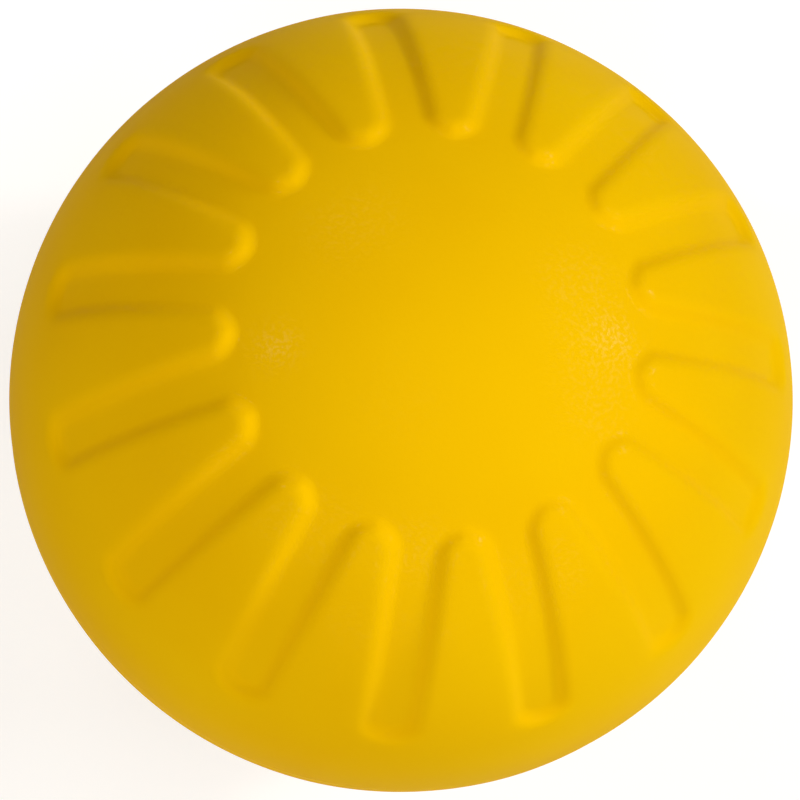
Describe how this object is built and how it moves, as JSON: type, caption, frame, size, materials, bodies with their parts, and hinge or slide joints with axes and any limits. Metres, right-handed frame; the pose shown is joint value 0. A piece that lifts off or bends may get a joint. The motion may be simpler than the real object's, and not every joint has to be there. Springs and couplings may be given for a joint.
{
  "type": "foam ball",
  "caption": "Solid moulded foam fetch ball with a ring of raised round-ended petals and narrow grooves round a bare recessed cap at each pole.",
  "frame": {"origin": "centre of the ball", "axes": "+Z along the moulding axis through the cap of the upper half, +X through the middle of one groove, X and Y in the parting plane"},
  "size_m": [0.064, 0.064, 0.0626],
  "materials": {
    "skin_foam": "satin",
    "seam_foam": "satin",
    "core_foam": "matte"
  },
  "bodies": {
    "root": {"upper_skin": "skin_foam", "lower_skin": "skin_foam", "parting_seam": "seam_foam", "foam_core": "core_foam"}
  },
  "joints": []
}
